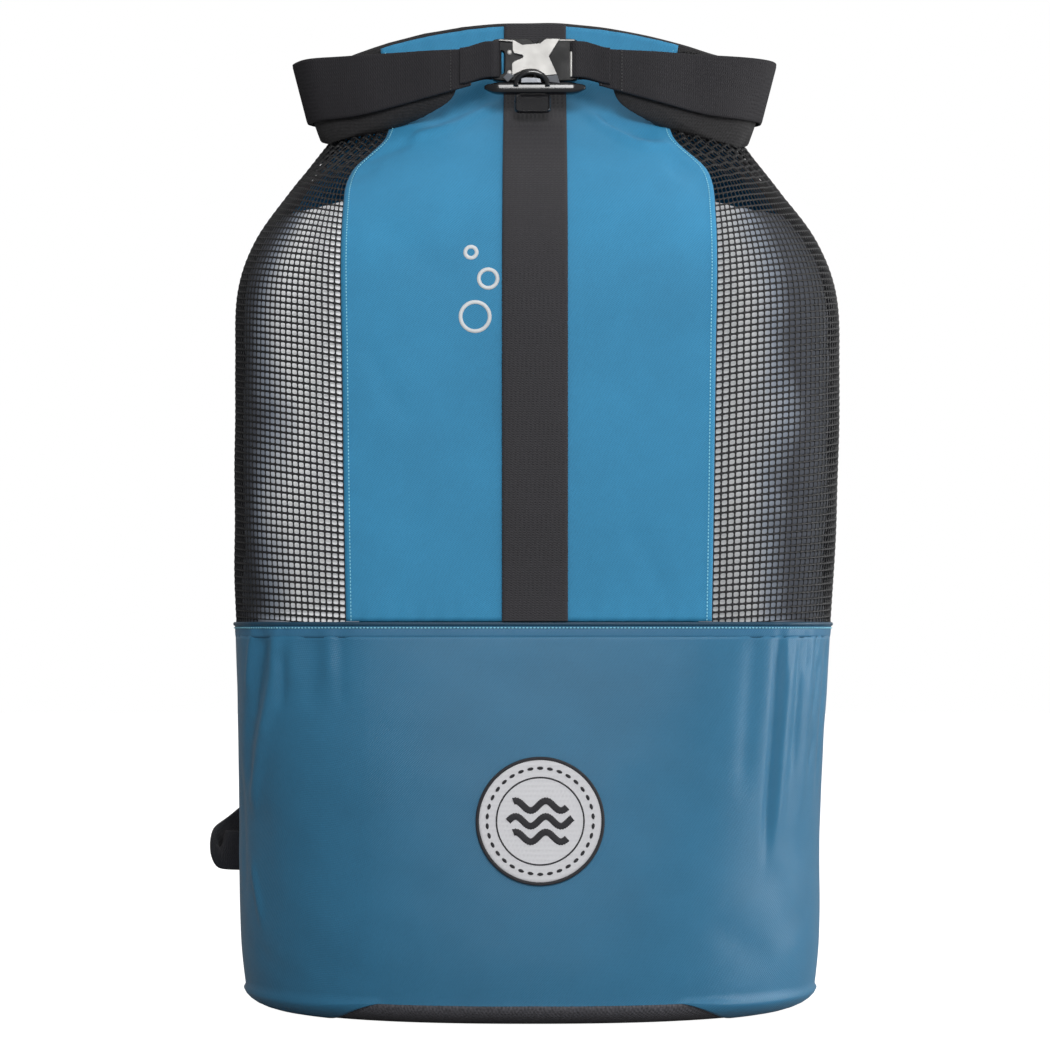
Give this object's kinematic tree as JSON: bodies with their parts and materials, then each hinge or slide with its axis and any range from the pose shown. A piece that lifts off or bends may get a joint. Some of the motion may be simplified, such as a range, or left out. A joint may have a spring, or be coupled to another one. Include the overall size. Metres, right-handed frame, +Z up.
{
  "type": "mesh roll-top gear backpack",
  "caption": "Tall roll-top gear backpack with net sides, a cloth front panel and lower band, a centre webbing strap, a front buckle and shoulder straps.",
  "frame": {"origin": "middle of the flat underside of the base, on the surface that the bag stands on", "axes": "+Z up along the bag to the rolled top; the front with the panel, strap and buckle faces -Y; +X is to the right as seen from the front"},
  "size_m": [0.392, 0.2853, 0.604],
  "materials": {
    "panel_cloth": "coated plain weave, satin",
    "band_cloth": "coated cloth, satin, lightly gathered",
    "base_cloth": "heathered coarse weave, matte",
    "net_cloth": "knotted net, matte",
    "lining_cloth": "pale smooth cloth, matte",
    "webbing": "ribbed webbing, matte",
    "roll_cloth": "rolled cloth and net, matte",
    "pad_cloth": "padded mesh cloth, matte",
    "black_plastic": "glossy",
    "silver_plate": "satin",
    "tag_rubber": "matte",
    "patch_cloth": "embroidered, matte",
    "patch_thread": "embroidered, matte"
  },
  "bodies": {
    "root": {"base_panel": "base_cloth", "lower_band": "band_cloth", "band_hem": "band_cloth", "front_panel": "panel_cloth", "back_panel": "panel_cloth", "left_net": "net_cloth", "right_net": "net_cloth", "left_lining": "lining_cloth", "right_lining": "lining_cloth", "top_roll": "roll_cloth", "left_roll_end": "roll_cloth", "right_roll_end": "roll_cloth", "closure_belt": "webbing", "buckle_frame": "black_plastic", "buckle_plate": "silver_plate", "buckle_rail": "black_plastic", "pull_tag": "tag_rubber", "tag_rim": "tag_rubber", "left_strap_loop": "webbing", "right_strap_loop": "webbing", "front_strap": "webbing", "round_patch": "patch_cloth", "patch_border": "patch_thread", "left_shoulder_pad": "pad_cloth", "left_adjuster": "black_plastic", "left_side_webbing": "webbing", "left_wing": "band_cloth", "right_shoulder_pad": "pad_cloth", "right_adjuster": "black_plastic", "right_side_webbing": "webbing", "right_wing": "band_cloth"}
  },
  "joints": []
}
